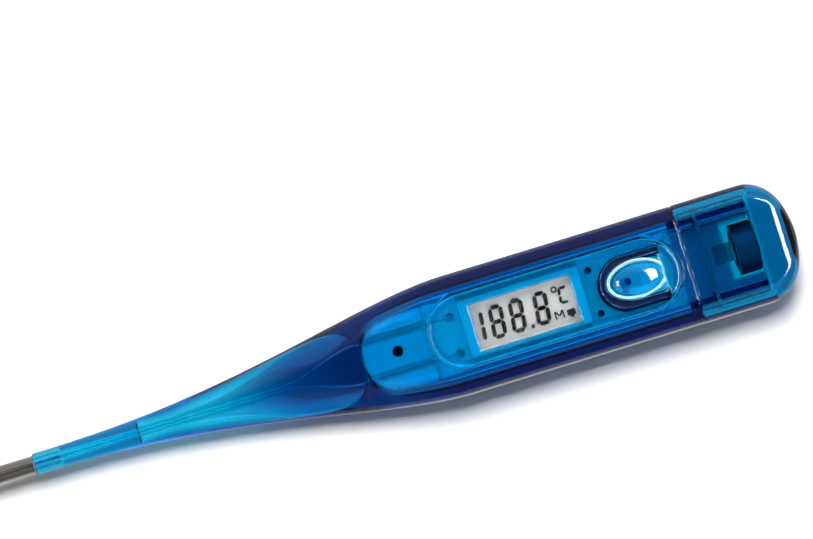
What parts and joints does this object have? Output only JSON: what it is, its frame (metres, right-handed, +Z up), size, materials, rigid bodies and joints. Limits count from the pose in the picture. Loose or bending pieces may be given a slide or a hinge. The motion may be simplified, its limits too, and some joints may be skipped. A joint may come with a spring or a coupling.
{
  "type": "digital thermometer",
  "caption": "Slim translucent clinical thermometer with a steel-tipped probe, a recessed display panel with a press button, and a pull-off battery cap.",
  "frame": {"origin": "below the middle of the part's length and width, on the plane that its flat underside rests on", "axes": "+X along the part from the probe tip to the battery cap; +Y across it; +Z up, out of the display"},
  "size_m": [0.129, 0.0186, 0.0106],
  "materials": {
    "blue_plastic": "translucent, polished",
    "panel_plastic": "translucent, polished",
    "clear_plastic": "clear, polished",
    "nylon": "satin",
    "dark_rubber": "matt",
    "silicone": "milky",
    "probe_steel": "drawn and polished",
    "glass": "clear, polished",
    "polarizer": "clear film",
    "reflector": "fine matt film",
    "black_epoxy": "semi-gloss",
    "ceramic": "satin",
    "wire_enamel": "enamelled",
    "pale_plastic": "satin",
    "board_laminate": "white solder mask",
    "solder": "bright",
    "brass": "rolled",
    "nickel": "nickel plated"
  },
  "bodies": {
    "housing": {"main_housing": "blue_plastic", "display_panel": "panel_plastic", "display_lens": "clear_plastic", "cell_gasket": "nylon", "cap_o_ring": "dark_rubber", "button_seal": "dark_rubber", "zebra_strip_left": "dark_rubber", "zebra_strip_right": "dark_rubber", "buzzer_adhesive_ring": "dark_rubber", "chassis_pin": "dark_rubber", "probe_tip": "probe_steel", "switch_dome": "silicone", "thermistor_bead": "glass", "lcd_front_glass": "glass", "lcd_rear_glass": "glass", "lcd_front_polarizer": "polarizer", "lcd_rear_reflector": "reflector", "tip_epoxy": "black_epoxy", "chip_blob": "black_epoxy", "reference_resistor": "black_epoxy", "timing_resistor": "black_epoxy", "bypass_capacitor": "ceramic", "buzzer_ceramic": "ceramic", "lead_wire_left": "wire_enamel", "lead_wire_right": "wire_enamel", "inner_chassis": "pale_plastic", "lcd_frame": "pale_plastic", "circuit_board": "board_laminate", "solder_joint_left": "solder", "solder_joint_right": "solder", "buzzer_plate": "brass", "buzzer_center_spring": "nickel", "buzzer_rim_spring": "nickel", "cell_can": "nickel", "cell_negative_cap": "nickel", "positive_contact": "nickel", "negative_contact": "nickel"},
    "cap": {"battery_cap": "blue_plastic"},
    "button": {"power_button": "panel_plastic"}
  },
  "joints": [
    {"name": "cap_slide", "type": "slide", "parent": "housing", "child": "cap", "axis": [1, 0, 0], "range_m": [0, 0.016]},
    {"name": "button_press", "type": "hinge", "parent": "housing", "child": "button", "pos_m": [0.0436, 0, 0.0096], "axis": [0, -1, 0], "range_deg": [0, 3.2], "stiffness_Nm_per_rad": 0.06, "deforming": ["switch_dome"]}
  ]
}
